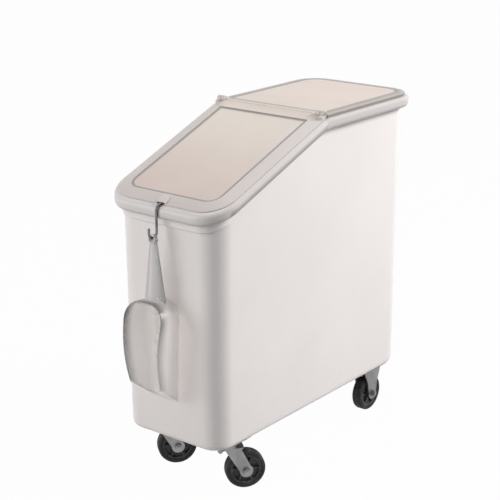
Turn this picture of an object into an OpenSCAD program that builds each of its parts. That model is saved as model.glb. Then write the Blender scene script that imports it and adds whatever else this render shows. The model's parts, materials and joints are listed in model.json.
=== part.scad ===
// Slant-top ingredient bin on casters: a moulded tub with two clear lids,
// a wire hook with a scoop, two swivel casters in front and two fixed ones behind.
// Millimetres. Z is up, the front faces -Y, and the floor is at z = 0.

/* [Bin] */
// Outside width across the rim
bin_w = 300; // [280:1:340]
// Outside depth across the rim
bin_d = 700; // [640:1:800]
// Height from the floor to the top of the rear lid
bin_h = 744; // [684:1:824]
// Slope of the front lid, in degrees
slope_angle = 20.4; // [17:0.1:24]
// Where the lids meet: behind (+) or in front of (-) the middle of the tub
ridge_y = 6; // [-40:1:40]
// Thickness of the tub's wall
wall_t = 4; // [3:0.5:5]
// Radius of the tub's upright corners
corner_r = 46; // [40:1:60]
// How far the rim stands out from the wall
rim_out = 19; // [17:0.5:22]

/* [Lids] */
// Thickness of the clear lids
lid_t = 3; // [2.5:0.25:3.25]
// Height of the lids above the rim
lid_h = 8; // [7.5:0.5:10]
// Width of the raised frame round the front lid's panel
frame_w = 27; // [25:1:36]

/* [Scoop and hook] */
// Diameter of the hook's wire
wire_d = 5; // [4:0.25:5]
// Width of the scoop's bowl at its top
scoop_w = 104; // [94:1:124]
// Depth of the scoop's bowl where it is deepest
scoop_depth = 77; // [66:1:86]
// Length of the scoop's bowl, from its top to its lip
scoop_l = 223; // [200:1:250]
// Length of the scoop's handle
handle_l = 122; // [100:1:150]

/* [Casters] */
// Diameter of the wheels
wheel_d = 84; // [76:1:86]
// Width of the tread
wheel_w = 24; // [20:1:26]
// Height of the tub's underside above the floor
caster_h = 108; // [106:1:124]
// Distance from the swivel axis to the axle
trail = 34; // [28:1:36]
// Direction of the front casters at rest, in degrees from straight back
swivel_rest = 39; // [0:1:40]

/* [Hidden] */

$fn = 64;
// Steps in each quarter turn of a moulded shell
arc_n = 8;
// Overrun of a cut past the face it opens
over = 1;
// Gap between faces that only rest on each other
rest_gap = 0.3;
// Radial clearance of a turning fit
run_gap = 0.05;
// Radial clearance of a bolt in its hole
bolt_gap = 0.3;

// Tub
wall_hw = bin_w / 2 - rim_out;
wall_hd = bin_d / 2 - rim_out;
draft = 3;
floor_t = 5;
edge_r = 12;
edge_steps = 4;
inner_edge_r = edge_r - wall_t;
floor_z = caster_h + floor_t;
slope = tan(slope_angle);
rim_z = bin_h - lid_h;
// Rim section: flange, skirt and the channel behind the skirt
rim_t = 4.5;
rim_drop = 24;
rim_round = 8;
rim_share = 0.3;
skirt_t = 3.5;
skirt_round = 1.5;
band_out = 5.5;
band_drop = 46;
band_ramp = 3;
mouth_edge = 3;

// Lids: heights are below the hinge axis, which lies just above both lid tops
lid_inset = 9;
lid_hw = bin_w / 2 - lid_inset;
hinge_up = 1;
hinge_z = bin_h + hinge_up;
lid_top = -hinge_up;
rear_rim = -(lid_h + hinge_up);
front_rim = rear_rim * cos(slope_angle);
seam = 1.5;
lid_front_r = corner_r + rim_out - lid_inset;
lid_seam_r = 6;
least_r = 2;
edge_t = 3;
lid_round = 2.4;
panel_drop = 4;
rib_gap = 1.5;
rib_out = wall_t + rim_out - lid_inset + rib_gap;
rib_t = 2.5;
rib_h = 6;
plateau_in = 12;
flange_t = 3;
front_len = (bin_d / 2 - lid_inset + ridge_y) / cos(slope_angle);
rear_len = bin_d / 2 - lid_inset - ridge_y;
relief_w = 20;
relief_len = frame_w;
relief_skin = 1.6;
step_round = 1;

// Hinge between the lids
pin_d = 5;
pin_head_d = 8;
pin_head_t = 1.2;
ear_r = 6.5;
ear_w = 10;
ear_gap = 0.5;
web_l = 14;
ear_end = lid_hw - pin_head_t;
outer_ear = ear_end - ear_w;
inner_ear = outer_ear - ear_gap - ear_w;

// Hook
wire_r = wire_d / 2;
bend_r = 5;
curl_r = 11;
curl_drop = 47;
tip_l = 8;
point_l = 1.2;
point_share = 0.6;
inner_leg = 12;
wire_n = 14;
bend_n = 6;
curl_n = 16;
rim_face = -bin_d / 2;
stem_y = rim_face - wire_r - rest_gap;
leg_y = -wall_hd + wall_t + wire_r + rest_gap;
lift = (wire_r + rest_gap) / cos(slope_angle);
stem_top = front_z(stem_y) + lift;
leg_top = front_z(leg_y) + lift;
stem_turn = 90 - slope_angle;
leg_turn = 90 + slope_angle;
stem_cut = bend_r * tan(stem_turn / 2);
leg_cut = bend_r * tan(leg_turn / 2);
curl_y = stem_y - curl_r;
curl_z = stem_top - curl_drop;

// Scoop
scoop_t = 3;
scoop_gap = 1;
scoop_back = -wall_hd - scoop_gap;
scoop_mouth = scoop_back - scoop_depth;
bowl_r = 26;
bowl_corner = 40;
bowl_flare = 1;
bowl_run = 60;
bowl_n = 10;
// The bowl is deepest at the belly, this far under its top, and shallower at the top by a share
belly = 98;
mouth_share = 0.76;
lip_share = 0.73;
lug_t = 8;
lug_r = 10;
eye_r = 6;
eye_top = curl_z - sqrt(pow(curl_r - wire_r, 2) - pow(lug_t / 2, 2)) + rest_gap;
eye_z = eye_top - eye_r;
scoop_top = eye_z - handle_l;
scoop_end = scoop_top - scoop_l;
lip_angle = 37;
// Handle: a flat back and a ridged front, from the bowl's top to the lug
root_w = 54;
neck_w = 16;
root_t = 17;
neck_t = 5.5;
root_in = 28;
handle_edge = 2.5;
ridge_power = 1.3;
handle_n = 10;
ridge_n = 6;
root = 2;
handle_y = scoop_back - root_in;
neck_y = curl_y + neck_t / 2;

// Casters
caster_x = 93;
front_in = 75;
rear_in = 81;
front_y = -wall_hd + front_in;
rear_y = wall_hd - rear_in;
plate_w = 50;
plate_l = 96;
plate_t = 3;
plate_r = 6;
bolt_x = 12;
bolt_y = 40;
bolt_d = 6;
bolt_head_d = 12;
bolt_head_t = 3;
bolt_tail = 2.5;
washer_d = 12;
washer_t = 1.2;
nut_af = 10;
nut_t = 5;
hex_share = 2 / sqrt(3);
plate_z = caster_h - plate_t;
ball_d = 5;
ball_n = 14;
ball_ring_r = 15.5;
race_out = 20.5;
race_h = 4.3;
race_gap = 1;
groove_r = ball_d / 2 + rest_gap;
race_z = plate_z - race_h;
ball_z = race_z - race_gap / 2;
crown_top = race_z - race_gap;
crown_h = 4.7;
yoke_t = 3.5;
yoke_top = crown_top - crown_h;
yoke_z = yoke_top - yoke_t;
king_d = 10;
king_head_d = 16;
king_head_t = 1.5;
king_tail = 1.5;
king_nut_t = 6;
king_nut_af = 15;
axle_z = wheel_d / 2;
axle_d = 8;
axle_head_t = 5;
axle_head_af = 13;
axle_nut_t = 6.5;
axle_tail = 2;
sleeve_d = 12;
hub_d = 24;
hub_over = 2.5;
hub_gap = 0.8;
leg_t = 3;
leg_in = wheel_w / 2 + hub_over + hub_gap;
leg_out = leg_in + leg_t;
leg_end_r = 14;
yoke_front = 20;
yoke_back = 30;
yoke_r = 8;
leg_slim = 4;
flare_half = 32;
flare_mid = 26;
flare_drop = 20;
flare_z = caster_h - flare_drop;
waist_half = 19;
waist_drop = 38;
waist_z = caster_h - waist_drop;
tyre_t = 10;
tyre_round = 5;
core_r = wheel_d / 2 - tyre_t;
core_rim_t = 4;
core_side = 1;
web_t = 7;
spokes = 6;
spoke_w = 5;
spoke_over = 2;

// The origin is under the middle of the whole object, scoop included
shift_y = -(bin_d / 2 + scoop_mouth) / 2;

// Height of the sloping rim plane
function front_z(y) = rim_z - (ridge_y - y) * slope;
function rim_top(y) = min(rim_z, front_z(y));

// Quarter turn of radius r about c, from angle a
function turn(c, r, a) = [for (k = [0 : arc_n]) let (t = a + 90 * k / arc_n) c + r * [cos(t), sin(t)]];

// Plan of the tub at a distance o outside its wall, with a point at each end of the ridge
function tub_plan(o) = let (x = wall_hw - corner_r, y = wall_hd - corner_r, r = corner_r + o) concat(
  turn([x, -y], r, -90), [[wall_hw + o, ridge_y]], turn([x, y], r, 0),
  turn([-x, y], r, 90), [[-wall_hw - o, ridge_y]], turn([-x, -y], r, 180));

// Ring of the tub: level at height z, or following the rim plane at a drop z
function level_ring(o, z) = [for (p = tub_plan(o)) [p[0], p[1], z]];
function rim_ring(o, z) = [for (p = tub_plan(o)) [p[0], p[1], rim_top(p[1]) + z]];

// Ring of the ledge under the front rim, which fades away round the front corners
function band_ring(z) = let (inner = tub_plan(0), outer = tub_plan(band_out)) [for (k = [0 : len(inner) - 1])
  let (out = outer[k] - inner[k], p = inner[k] + out * max(-out[1] / band_out, 0))
    [p[0], p[1], rim_top(p[1]) + z]];

// Plan of a lid from y0 to y1 with corner radii r0 and r1, moved outward by o
function lid_plan(y0, y1, r0, r1, o) = let (
  x = lid_hw + o, s0 = max(r0 + o, least_r), s1 = max(r1 + o, least_r)) concat(
  turn([x - s0, y0 - o + s0], s0, -90), turn([x - s1, y1 + o - s1], s1, 0),
  turn([-x + s1, y1 + o - s1], s1, 90), turn([-x + s0, y0 - o + s0], s0, 180));

// Closed shell through rings that run out and up from the first and in again to the last.
// A ring that isn't flat is capped by strips between its facing points
module shell(rings, strips = false) {
  m = len(rings[0]);
  n = len(rings);
  end = (n - 1) * m;
  sides = [for (i = [0 : n - 2], j = [0 : m - 1], half = [0, 1])
    let (a = i * m + j, b = i * m + (j + 1) % m, c = b + m, d = a + m)
    half == 0 ? [a, d, c] : [a, c, b]];
  first = strips
    ? [for (j = [0 : m / 2 - 2]) [j, j + 1, m - 2 - j, m - 1 - j]]
    : [[for (j = [0 : m - 1]) j]];
  last = strips
    ? [for (j = [0 : m / 2 - 2]) [end + m - 1 - j, end + m - 2 - j, end + j + 1, end + j]]
    : [[for (j = [m - 1 : -1 : 0]) end + j]];
  polyhedron([for (r = rings, p = r) p], concat(first, last, sides), convexity = 6);
}

module place() translate([0, shift_y, 0]) children();

module hexagon(af, h) cylinder(d = af * hex_share, h = h, $fn = 6);

module tub() color("white") place() difference() {
  tub_shell();
  bolt_places() translate([0, 0, caster_h - over])
    cylinder(d = bolt_d + 2 * bolt_gap, h = floor_t + 2 * over);
}

module tub_shell() {
  inner = -draft - wall_t;
  under = [for (k = [0 : edge_steps]) let (a = 90 * k / edge_steps)
    level_ring(-draft - edge_r * (1 - sin(a)), caster_h + edge_r * (1 - cos(a)))];
  rim = [
    rim_ring(0, -band_drop),
    band_ring(-band_drop + band_ramp),
    band_ring(-rim_t),
    rim_ring(rim_out - skirt_t, -rim_t),
    rim_ring(rim_out - skirt_t, -rim_drop),
    rim_ring(rim_out - skirt_round, -rim_drop),
    rim_ring(rim_out, -rim_drop + skirt_round),
    rim_ring(rim_out, -rim_round),
    rim_ring(rim_out - rim_round * rim_share * rim_share, -rim_round * (1 - 2 * rim_share)),
    rim_ring(rim_out - rim_round * rim_share, -rim_round * rim_share / 2),
    rim_ring(rim_out - rim_round * 2 * rim_share, 0),
    rim_ring(-wall_t + mouth_edge, 0),
    rim_ring(-wall_t, -mouth_edge)];
  inside = [for (k = [edge_steps : -1 : 0]) let (a = 90 * k / edge_steps)
    level_ring(inner - inner_edge_r * (1 - sin(a)), floor_z + inner_edge_r * (1 - cos(a)))];
  shell(concat(under, rim, inside));
}

// Places of the four casters and of their plate bolts
module caster_places() for (x = [-1, 1], y = [front_y, rear_y]) translate([x * caster_x, y, 0]) children();

module plate_holes() for (x = [-1, 1], y = [-1, 1]) translate([x * bolt_x, y * bolt_y, 0]) children();

module bolt_places() caster_places() plate_holes() children();

module plate_bolts() color("silver") place() bolt_places() {
  translate([0, 0, floor_z]) cylinder(d1 = bolt_head_d, d2 = bolt_d, h = bolt_head_t);
  translate([0, 0, plate_z - washer_t - nut_t - bolt_tail])
    cylinder(d = bolt_d, h = floor_z - plate_z + washer_t + nut_t + bolt_tail);
}

module plate_washers() color("silver") place() bolt_places() translate([0, 0, plate_z - washer_t])
  difference() {
    cylinder(d = washer_d, h = washer_t);
    translate([0, 0, -over]) cylinder(d = bolt_d + bolt_gap, h = washer_t + 2 * over);
  }

module plate_nuts() color("silver") place() bolt_places() translate([0, 0, plate_z - washer_t - nut_t])
  difference() {
    hexagon(nut_af, nut_t);
    translate([0, 0, -over]) cylinder(d = bolt_d + 2 * run_gap, h = nut_t + 2 * over);
  }

// Frames of the two lids, with the hinge axis along X through the origin
module rear_frame() place() translate([0, ridge_y, hinge_z]) children();

module front_frame() rear_frame() rotate([slope_angle, 0, 0]) children();

// Cylinder along X from x0 to x1
module bar(x0, x1, r) translate([x0, 0, 0]) rotate([0, 90, 0]) cylinder(r = r, h = x1 - x0);

// Hinge ear of a lid, with its web reaching back to the lid
module ear(x0, low, way) {
  bar(x0, x0 + ear_w, ear_r);
  translate([x0, min(0, way * web_l), low]) cube([ear_w, web_l, -low]);
}

// Room for the other lid's ear
module ear_room(x0, low) {
  bar(x0 - ear_gap, x0 + ear_w + lid_inset, ear_r + ear_gap);
  translate([x0 - ear_gap, -ear_r - ear_gap, low - over])
    cube([ear_w + lid_inset, 2 * (ear_r + ear_gap), over - low]);
}

module both_ends() {
  children();
  mirror([1, 0, 0]) children();
}

module rear_lid() color("gainsboro") rear_frame() difference() {
  union() {
    difference() {
      rear_lid_shell();
      both_ends() ear_room(outer_ear, rear_rim);
    }
    both_ends() ear(inner_ear, rear_rim + rest_gap, 1);
  }
  both_ends() bar(inner_ear - over, inner_ear + ear_w + over, pin_d / 2 + run_gap);
}

module rear_lid_shell() {
  base = rear_rim + rest_gap;
  profile = [
    [-rib_out - rib_t, lid_top - lid_t],
    [-rib_out - rib_t, base - rib_h],
    [-rib_out, base - rib_h],
    [-rib_out, base],
    [0, base],
    [0, base + flange_t - step_round],
    [-step_round, base + flange_t],
    [-plateau_in + step_round, base + flange_t],
    [-plateau_in - step_round, lid_top - step_round],
    [-plateau_in - 2 * step_round, lid_top]];
  shell([for (q = profile)
    [for (p = lid_plan(seam, rear_len, lid_seam_r, lid_front_r, q[0])) [p[0], p[1], q[1]]]]);
}

module front_lid() color("gainsboro") front_frame() difference() {
  union() {
    difference() {
      front_lid_shell();
      both_ends() ear_room_inner();
      hook_relief();
    }
    both_ends() ear(outer_ear, front_rim + rest_gap, -1);
  }
  both_ends() bar(outer_ear - over, ear_end + over, pin_d / 2 + run_gap);
}

module ear_room_inner() intersection() {
  ear_room(inner_ear, front_rim);
  translate([inner_ear - ear_gap, -bin_d / 2, -bin_d / 2])
    cube([ear_w + 2 * ear_gap, bin_d, bin_d]);
}

// Notch under the front edge that lets the hook's wire through
module hook_relief() translate([-relief_w / 2, -front_len - over, front_rim - rib_h - over])
  cube([relief_w, relief_len + over, lid_top - relief_skin - front_rim + rib_h + over]);

module front_lid_shell() {
  base = front_rim + rest_gap;
  panel = lid_top - panel_drop;
  profile = [
    [-frame_w + lid_t / 2, panel - lid_t],
    [-frame_w + lid_t, panel - lid_t / 2],
    [-frame_w + lid_t, lid_top - lid_t],
    [-rib_out - rib_t, lid_top - lid_t],
    [-rib_out - rib_t, base - rib_h],
    [-rib_out, base - rib_h],
    [-rib_out, lid_top - lid_t],
    [-edge_t, lid_top - lid_t],
    [-edge_t, base],
    [0, base],
    [0, lid_top - lid_round],
    [-lid_round * rim_share, lid_top - lid_round * rim_share],
    [-lid_round, lid_top],
    [-frame_w + step_round, lid_top],
    [-frame_w, lid_top - step_round],
    [-frame_w - step_round, panel + step_round / 2],
    [-frame_w - 2 * step_round, panel]];
  shell([for (q = profile)
    [for (p = lid_plan(-front_len, -seam, lid_front_r, lid_seam_r, q[0])) [p[0], p[1], q[1]]]]);
}

module hinge_pins() color("gray") rear_frame() both_ends() {
  bar(inner_ear, ear_end, pin_d / 2);
  bar(ear_end, ear_end + pin_head_t, pin_head_d / 2);
}

// Points of a turn about c in the plane x = 0, from angle a to angle b
function wire_turn(c, r, a, b, n) =
  [for (k = [0 : n]) let (t = a + (b - a) * k / n) c + r * [cos(t), sin(t)]];

// Round section of radius r at p, square to the direction t
function wire_ring(p, t, r) = [for (k = [0 : wire_n - 1]) let (a = 360 * k / wire_n)
  [r * cos(a), p[0] + r * sin(a) * t[1], p[1] - r * sin(a) * t[0]]];

function unit(v) = v / norm(v);

// Wire along a path, with a tapered point at each end
module wire(path) {
  n = len(path);
  way = [for (i = [0 : n - 1]) unit(path[min(i + 1, n - 1)] - path[max(i - 1, 0)])];
  shell(concat(
    [wire_ring(path[0] - point_l * way[0], way[0], wire_r * point_share)],
    [for (i = [0 : n - 1]) wire_ring(path[i], way[i], wire_r)],
    [wire_ring(path[n - 1] + point_l * way[n - 1], way[n - 1], wire_r * point_share)]));
}

module s_hook() color("dimgray") place() {
  leg_start = [leg_y, leg_top - leg_cut];
  stem_end = [stem_y, stem_top - stem_cut];
  wire(concat(
    [leg_start - [0, inner_leg]],
    wire_turn(leg_start - [bend_r, 0], bend_r, 0, leg_turn, bend_n),
    wire_turn(stem_end + [bend_r, 0], bend_r, leg_turn, 180, bend_n),
    wire_turn([curl_y, curl_z], curl_r, 0, -180, curl_n),
    [[curl_y - curl_r, curl_z + tip_l]]));
}

// Plan of the scoop's bowl, seen from its mouth, moved outward by o
function bowl_plan(o) = let (
  x = scoop_w / 2 - bowl_corner, low = scoop_end - bowl_run, high = scoop_top - bowl_corner,
  r = bowl_corner + o, side = [for (k = [1 : bowl_n - 1]) low + (high - low) * k / bowl_n]) concat(
  turn([x, low], r, -90), [for (v = side) [x + r, v]], turn([x, high], r, 0),
  turn([-x, high], r, 90), [for (v = side) [-x - r, low + high - v]], turn([-x, low], r, 180));

// Share of the full depth and of the full width at height v
function belly_share(v) = 1 - (1 - mouth_share) * pow((scoop_top - belly - v) / belly, 2);
function taper(v) = 1 - (1 - lip_share) * (scoop_top - v) / scoop_l;

// The bowl is a tray that opens toward the front, cut off at the lip
module bowl() difference() {
  translate([0, scoop_back, 0]) rotate([90, 0, 0]) bowl_shell();
  translate([-scoop_w, scoop_back, scoop_end]) rotate([-lip_angle, 0, 0])
    translate([0, -bin_d, -bin_d]) cube([2 * scoop_w, 2 * bin_d, bin_d]);
}

module bowl_shell() {
  inner_r = bowl_r - scoop_t;
  outside = [for (k = [0 : edge_steps]) let (a = 90 * k / edge_steps)
    [-bowl_flare - bowl_r * (1 - sin(a)), bowl_r * (1 - cos(a)), 0]];
  edge = [
    [0, scoop_depth - scoop_t / 2, 0],
    [-scoop_t / 2, scoop_depth, scoop_t / 2],
    [-scoop_t, scoop_depth - scoop_t / 2, scoop_t]];
  inside = [for (k = [edge_steps : -1 : 0]) let (a = 90 * k / edge_steps)
    [-bowl_flare - scoop_t - inner_r * (1 - sin(a)), scoop_t + inner_r * (1 - cos(a)), scoop_t]];
  shell([for (q = concat(outside, edge, inside)) [for (p = bowl_plan(q[0]))
    [p[0] * taper(p[1]), p[1], q[2] + (q[1] - q[2]) * belly_share(p[1])]]]);
}

// How far the bowl's rounded top has dropped at a distance x from the middle
function top_drop(x) = let (past = max(abs(x) - scoop_w / 2 + bowl_corner, 0))
  bowl_corner - sqrt(pow(bowl_corner, 2) - pow(past, 2));

// Section of the handle, a share s of the way from the bowl to the lug
function handle_ring(s) = let (
  w = (root_w + (neck_w - root_w) * s) / 2, t = root_t + (neck_t - root_t) * s - handle_edge,
  y = handle_y + (neck_y - handle_y) * s, z = scoop_top - root + handle_l * s,
  across = [for (k = [-ridge_n : ridge_n]) k / ridge_n]) concat(
  [for (u = across) [w * u, y - handle_edge - t * (1 - pow(abs(u), ridge_power)),
    z - top_drop(w * u) * (1 - s)]],
  [for (u = across) [-w * u, y, z - top_drop(w * u) * (1 - s)]]);

module lug(r, end) translate([0, curl_y + lug_t / 2 + end, eye_z]) rotate([90, 0, 0])
  cylinder(r = r, h = lug_t + 2 * end);

module scoop() color("whitesmoke") place() difference() {
  union() {
    bowl();
    shell([for (k = [0 : handle_n]) handle_ring(k / handle_n)], strips = true);
    lug(lug_r, 0);
  }
  lug(eye_r, over);
}

// Caster frames: the axle lies along X, and the wheel trails toward +Y
module front_left() place() translate([-caster_x, front_y, 0]) children();
module front_right() place() translate([caster_x, front_y, 0]) children();
module rear_left() place() translate([-caster_x, rear_y, 0]) children();
module rear_right() place() translate([caster_x, rear_y, 0]) children();
module swung() rotate([0, 0, -swivel_rest]) children();
module trailed() swung() translate([0, trail, axle_z]) children();
module fixed() translate([0, 0, axle_z]) children();

// Rounded rectangle from its corner points
module rounded(x0, x1, y0, y1, r) union() {
  translate([x0 + r, y0]) square([x1 - x0 - 2 * r, y1 - y0]);
  translate([x0, y0 + r]) square([x1 - x0, y1 - y0 - 2 * r]);
  for (x = [x0 + r, x1 - r], y = [y0 + r, y1 - r]) translate([x, y]) circle(r);
}

module top_plate() difference() {
  translate([0, 0, plate_z]) linear_extrude(plate_t)
    rounded(-plate_w / 2, plate_w / 2, -plate_l / 2, plate_l / 2, plate_r);
  plate_holes() translate([0, 0, plate_z - over]) cylinder(d = bolt_d + 2 * bolt_gap, h = plate_t + 2 * over);
}

module ball_groove() translate([0, 0, ball_z]) rotate_extrude() translate([ball_ring_r, 0]) circle(groove_r);

module swivel_plate() color("silver") difference() {
  union() {
    top_plate();
    translate([0, 0, race_z]) cylinder(r = race_out, h = race_h);
  }
  translate([0, 0, race_z - over]) cylinder(d = king_d + 2 * run_gap, h = race_h + plate_t + 2 * over);
  translate([0, 0, caster_h - king_head_t]) cylinder(d = king_head_d + 2 * bolt_gap, h = king_head_t + over);
  ball_groove();
}

module balls() color("gray") swung() for (k = [0 : ball_n - 1]) rotate([0, 0, 360 * k / ball_n])
  translate([ball_ring_r, 0, ball_z]) sphere(d = ball_d);

module king_pin() color("gray") {
  low = yoke_z - king_nut_t - king_tail;
  translate([0, 0, caster_h - king_head_t]) cylinder(d = king_head_d, h = king_head_t - rest_gap);
  translate([0, 0, low]) cylinder(d = king_d, h = caster_h - king_head_t - low);
}

module king_nut() color("gray") translate([0, 0, yoke_z - king_nut_t - rest_gap]) difference() {
  hexagon(king_nut_af, king_nut_t);
  translate([0, 0, -over]) cylinder(d = king_d + 2 * run_gap, h = king_nut_t + 2 * over);
}

// Side of a fork: a tapering leg from the top edge down to a round end at the axle
module leg_side(back, front, top, reach) {
  slim = leg_end_r - leg_slim;
  union() {
    polygon([[back, top], [front, top], [reach + leg_end_r - run_gap, axle_z], [reach, axle_z - slim],
      [reach - leg_end_r + run_gap, axle_z]]);
    translate([reach, axle_z]) circle(leg_end_r);
  }
}

module leg(side, back, front, top, reach) translate([side * (leg_in + leg_t / 2) - leg_t / 2, 0, 0])
  rotate([90, 0, 90]) linear_extrude(leg_t) leg_side(back, front, top, reach);

// Side of a bracket: it flares out to the plate above the wheel
module bracket_side() {
  right = [[flare_half, caster_h - plate_t / 2], [flare_mid, flare_z], [waist_half, waist_z],
    [leg_end_r - run_gap, axle_z]];
  union() {
    polygon(concat(right, [[0, axle_z - leg_end_r + leg_slim]],
      [for (k = [len(right) - 1 : -1 : 0]) [-right[k][0], right[k][1]]]));
    translate([0, axle_z]) circle(leg_end_r);
  }
}

module axle_hole() rotate([0, 90, 0]) translate([0, 0, -leg_out - over])
  cylinder(d = axle_d + 2 * run_gap, h = 2 * (leg_out + over));

module fork() color("silver") swung() difference() {
  union() {
    translate([0, 0, yoke_top]) cylinder(r = race_out, h = crown_h);
    translate([0, 0, yoke_z]) linear_extrude(yoke_t)
      rounded(-leg_out, leg_out, -yoke_front, yoke_back, yoke_r);
    leg(-1, -yoke_front + yoke_r, yoke_back - yoke_r, yoke_top, trail);
    leg(1, -yoke_front + yoke_r, yoke_back - yoke_r, yoke_top, trail);
  }
  translate([0, 0, yoke_z - over]) cylinder(d = king_d + 4 * run_gap, h = yoke_t + crown_h + 2 * over);
  ball_groove();
  translate([0, trail, axle_z]) axle_hole();
}

module bracket() color("silver") difference() {
  union() {
    top_plate();
    for (side = [-1, 1]) translate([side * (leg_in + leg_t / 2) - leg_t / 2, 0, 0])
      rotate([90, 0, 90]) linear_extrude(leg_t) bracket_side();
  }
  translate([0, 0, axle_z]) axle_hole();
}

// Axle parts lie along X at the origin
module axle() color("gray") {
  bar(-leg_out, leg_out + axle_nut_t + axle_tail, axle_d / 2);
  translate([-leg_out - axle_head_t, 0, 0]) rotate([0, 90, 0]) hexagon(axle_head_af, axle_head_t);
}

module axle_nut() color("silver") translate([leg_out, 0, 0]) rotate([0, 90, 0]) difference() {
  hexagon(axle_head_af, axle_nut_t);
  translate([0, 0, -over]) cylinder(d = axle_d + 2 * run_gap, h = axle_nut_t + 2 * over);
}

module sleeve() color("gray") rotate([0, 90, 0]) difference() {
  translate([0, 0, -leg_in]) cylinder(d = sleeve_d, h = 2 * leg_in);
  translate([0, 0, -leg_in - over]) cylinder(d = axle_d + 2 * run_gap, h = 2 * (leg_in + over));
}

module core() color("dimgray") rotate([0, 90, 0]) difference() {
  hub_h = wheel_w / 2 + hub_over;
  rim_h = wheel_w / 2 - core_side;
  union() {
    translate([0, 0, -hub_h]) cylinder(d = hub_d, h = 2 * hub_h);
    translate([0, 0, -web_t / 2]) cylinder(r = core_r - core_rim_t / 2, h = web_t);
    translate([0, 0, -rim_h]) difference() {
      cylinder(r = core_r, h = 2 * rim_h);
      translate([0, 0, -over]) cylinder(r = core_r - core_rim_t, h = 2 * (rim_h + over));
    }
    for (k = [0 : spokes - 1]) rotate([0, 0, 360 * k / spokes])
      translate([sleeve_d / 2 + spoke_over, -spoke_w / 2, -rim_h + spoke_over])
        cube([core_r - core_rim_t / 2 - sleeve_d / 2 - spoke_over, spoke_w, 2 * (rim_h - spoke_over)]);
  }
  translate([0, 0, -hub_h - over]) cylinder(d = sleeve_d + 2 * run_gap, h = 2 * (hub_h + over));
}

module tyre() color("black") rotate([0, 90, 0]) rotate_extrude() {
  r = wheel_d / 2;
  translate([core_r, -wheel_w / 2]) square([tyre_t - tyre_round, wheel_w]);
  translate([core_r, -wheel_w / 2 + tyre_round]) square([tyre_t, wheel_w - 2 * tyre_round]);
  for (y = [-1, 1]) translate([r - tyre_round, y * (wheel_w / 2 - tyre_round)]) circle(tyre_round);
}

module front_left_plate() front_left() swivel_plate();
module front_left_balls() front_left() balls();
module front_left_king_pin() front_left() king_pin();
module front_left_king_nut() front_left() king_nut();
module front_left_fork() front_left() fork();
module front_left_axle() front_left() trailed() axle();
module front_left_axle_nut() front_left() trailed() axle_nut();
module front_left_sleeve() front_left() trailed() sleeve();
module front_left_core() front_left() trailed() core();
module front_left_tyre() front_left() trailed() tyre();
module front_right_plate() front_right() swivel_plate();
module front_right_balls() front_right() balls();
module front_right_king_pin() front_right() king_pin();
module front_right_king_nut() front_right() king_nut();
module front_right_fork() front_right() fork();
module front_right_axle() front_right() trailed() axle();
module front_right_axle_nut() front_right() trailed() axle_nut();
module front_right_sleeve() front_right() trailed() sleeve();
module front_right_core() front_right() trailed() core();
module front_right_tyre() front_right() trailed() tyre();
module rear_left_bracket() rear_left() bracket();
module rear_left_axle() rear_left() fixed() axle();
module rear_left_axle_nut() rear_left() fixed() axle_nut();
module rear_left_sleeve() rear_left() fixed() sleeve();
module rear_left_core() rear_left() fixed() core();
module rear_left_tyre() rear_left() fixed() tyre();
module rear_right_bracket() rear_right() bracket();
module rear_right_axle() rear_right() fixed() axle();
module rear_right_axle_nut() rear_right() fixed() axle_nut();
module rear_right_sleeve() rear_right() fixed() sleeve();
module rear_right_core() rear_right() fixed() core();
module rear_right_tyre() rear_right() fixed() tyre();

tub();
plate_bolts();
plate_washers();
plate_nuts();
rear_lid();
front_lid();
hinge_pins();
s_hook();
scoop();
front_left_plate();
front_left_balls();
front_left_king_pin();
front_left_king_nut();
front_left_fork();
front_left_axle();
front_left_axle_nut();
front_left_sleeve();
front_left_core();
front_left_tyre();
front_right_plate();
front_right_balls();
front_right_king_pin();
front_right_king_nut();
front_right_fork();
front_right_axle();
front_right_axle_nut();
front_right_sleeve();
front_right_core();
front_right_tyre();
rear_left_bracket();
rear_left_axle();
rear_left_axle_nut();
rear_left_sleeve();
rear_left_core();
rear_left_tyre();
rear_right_bracket();
rear_right_axle();
rear_right_axle_nut();
rear_right_sleeve();
rear_right_core();
rear_right_tyre();
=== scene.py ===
"""Looks of a slant-top flour bin on casters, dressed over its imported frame.

Lengths are in millimetres and points are in the frame's axes, with the front at -Y; put() turns them
into metres. Each shape is a numpy surface: a section carried round an outline, along a path or about an axis.
"""
import json
import math
from collections import namedtuple

import bmesh
import bpy
import numpy as np
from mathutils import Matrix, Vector


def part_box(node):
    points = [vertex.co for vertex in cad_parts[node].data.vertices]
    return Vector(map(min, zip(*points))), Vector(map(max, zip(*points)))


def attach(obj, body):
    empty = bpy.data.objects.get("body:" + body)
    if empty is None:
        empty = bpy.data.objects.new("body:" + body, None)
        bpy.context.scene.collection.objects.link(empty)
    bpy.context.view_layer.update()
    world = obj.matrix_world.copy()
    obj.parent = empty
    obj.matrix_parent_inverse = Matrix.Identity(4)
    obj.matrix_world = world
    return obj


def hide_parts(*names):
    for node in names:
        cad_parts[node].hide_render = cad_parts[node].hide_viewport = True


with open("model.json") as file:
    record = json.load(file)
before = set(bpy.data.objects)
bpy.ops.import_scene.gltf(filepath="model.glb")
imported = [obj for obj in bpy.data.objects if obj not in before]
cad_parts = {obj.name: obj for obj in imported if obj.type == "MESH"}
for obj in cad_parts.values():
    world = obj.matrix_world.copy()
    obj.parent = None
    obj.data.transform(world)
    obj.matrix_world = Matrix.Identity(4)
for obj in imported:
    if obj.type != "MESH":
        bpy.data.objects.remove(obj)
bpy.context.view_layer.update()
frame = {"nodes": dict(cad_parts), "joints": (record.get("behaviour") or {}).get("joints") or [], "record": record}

MM = 0.001
joint = {j["name"]: j for j in frame["joints"]}
slot_of = {part["node"]: part["material_slot"] for part in frame["record"]["subparts"]}
body_of = {node: body for body, nodes in frame["record"]["behaviour"]["bodies"].items() for node in nodes}


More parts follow.
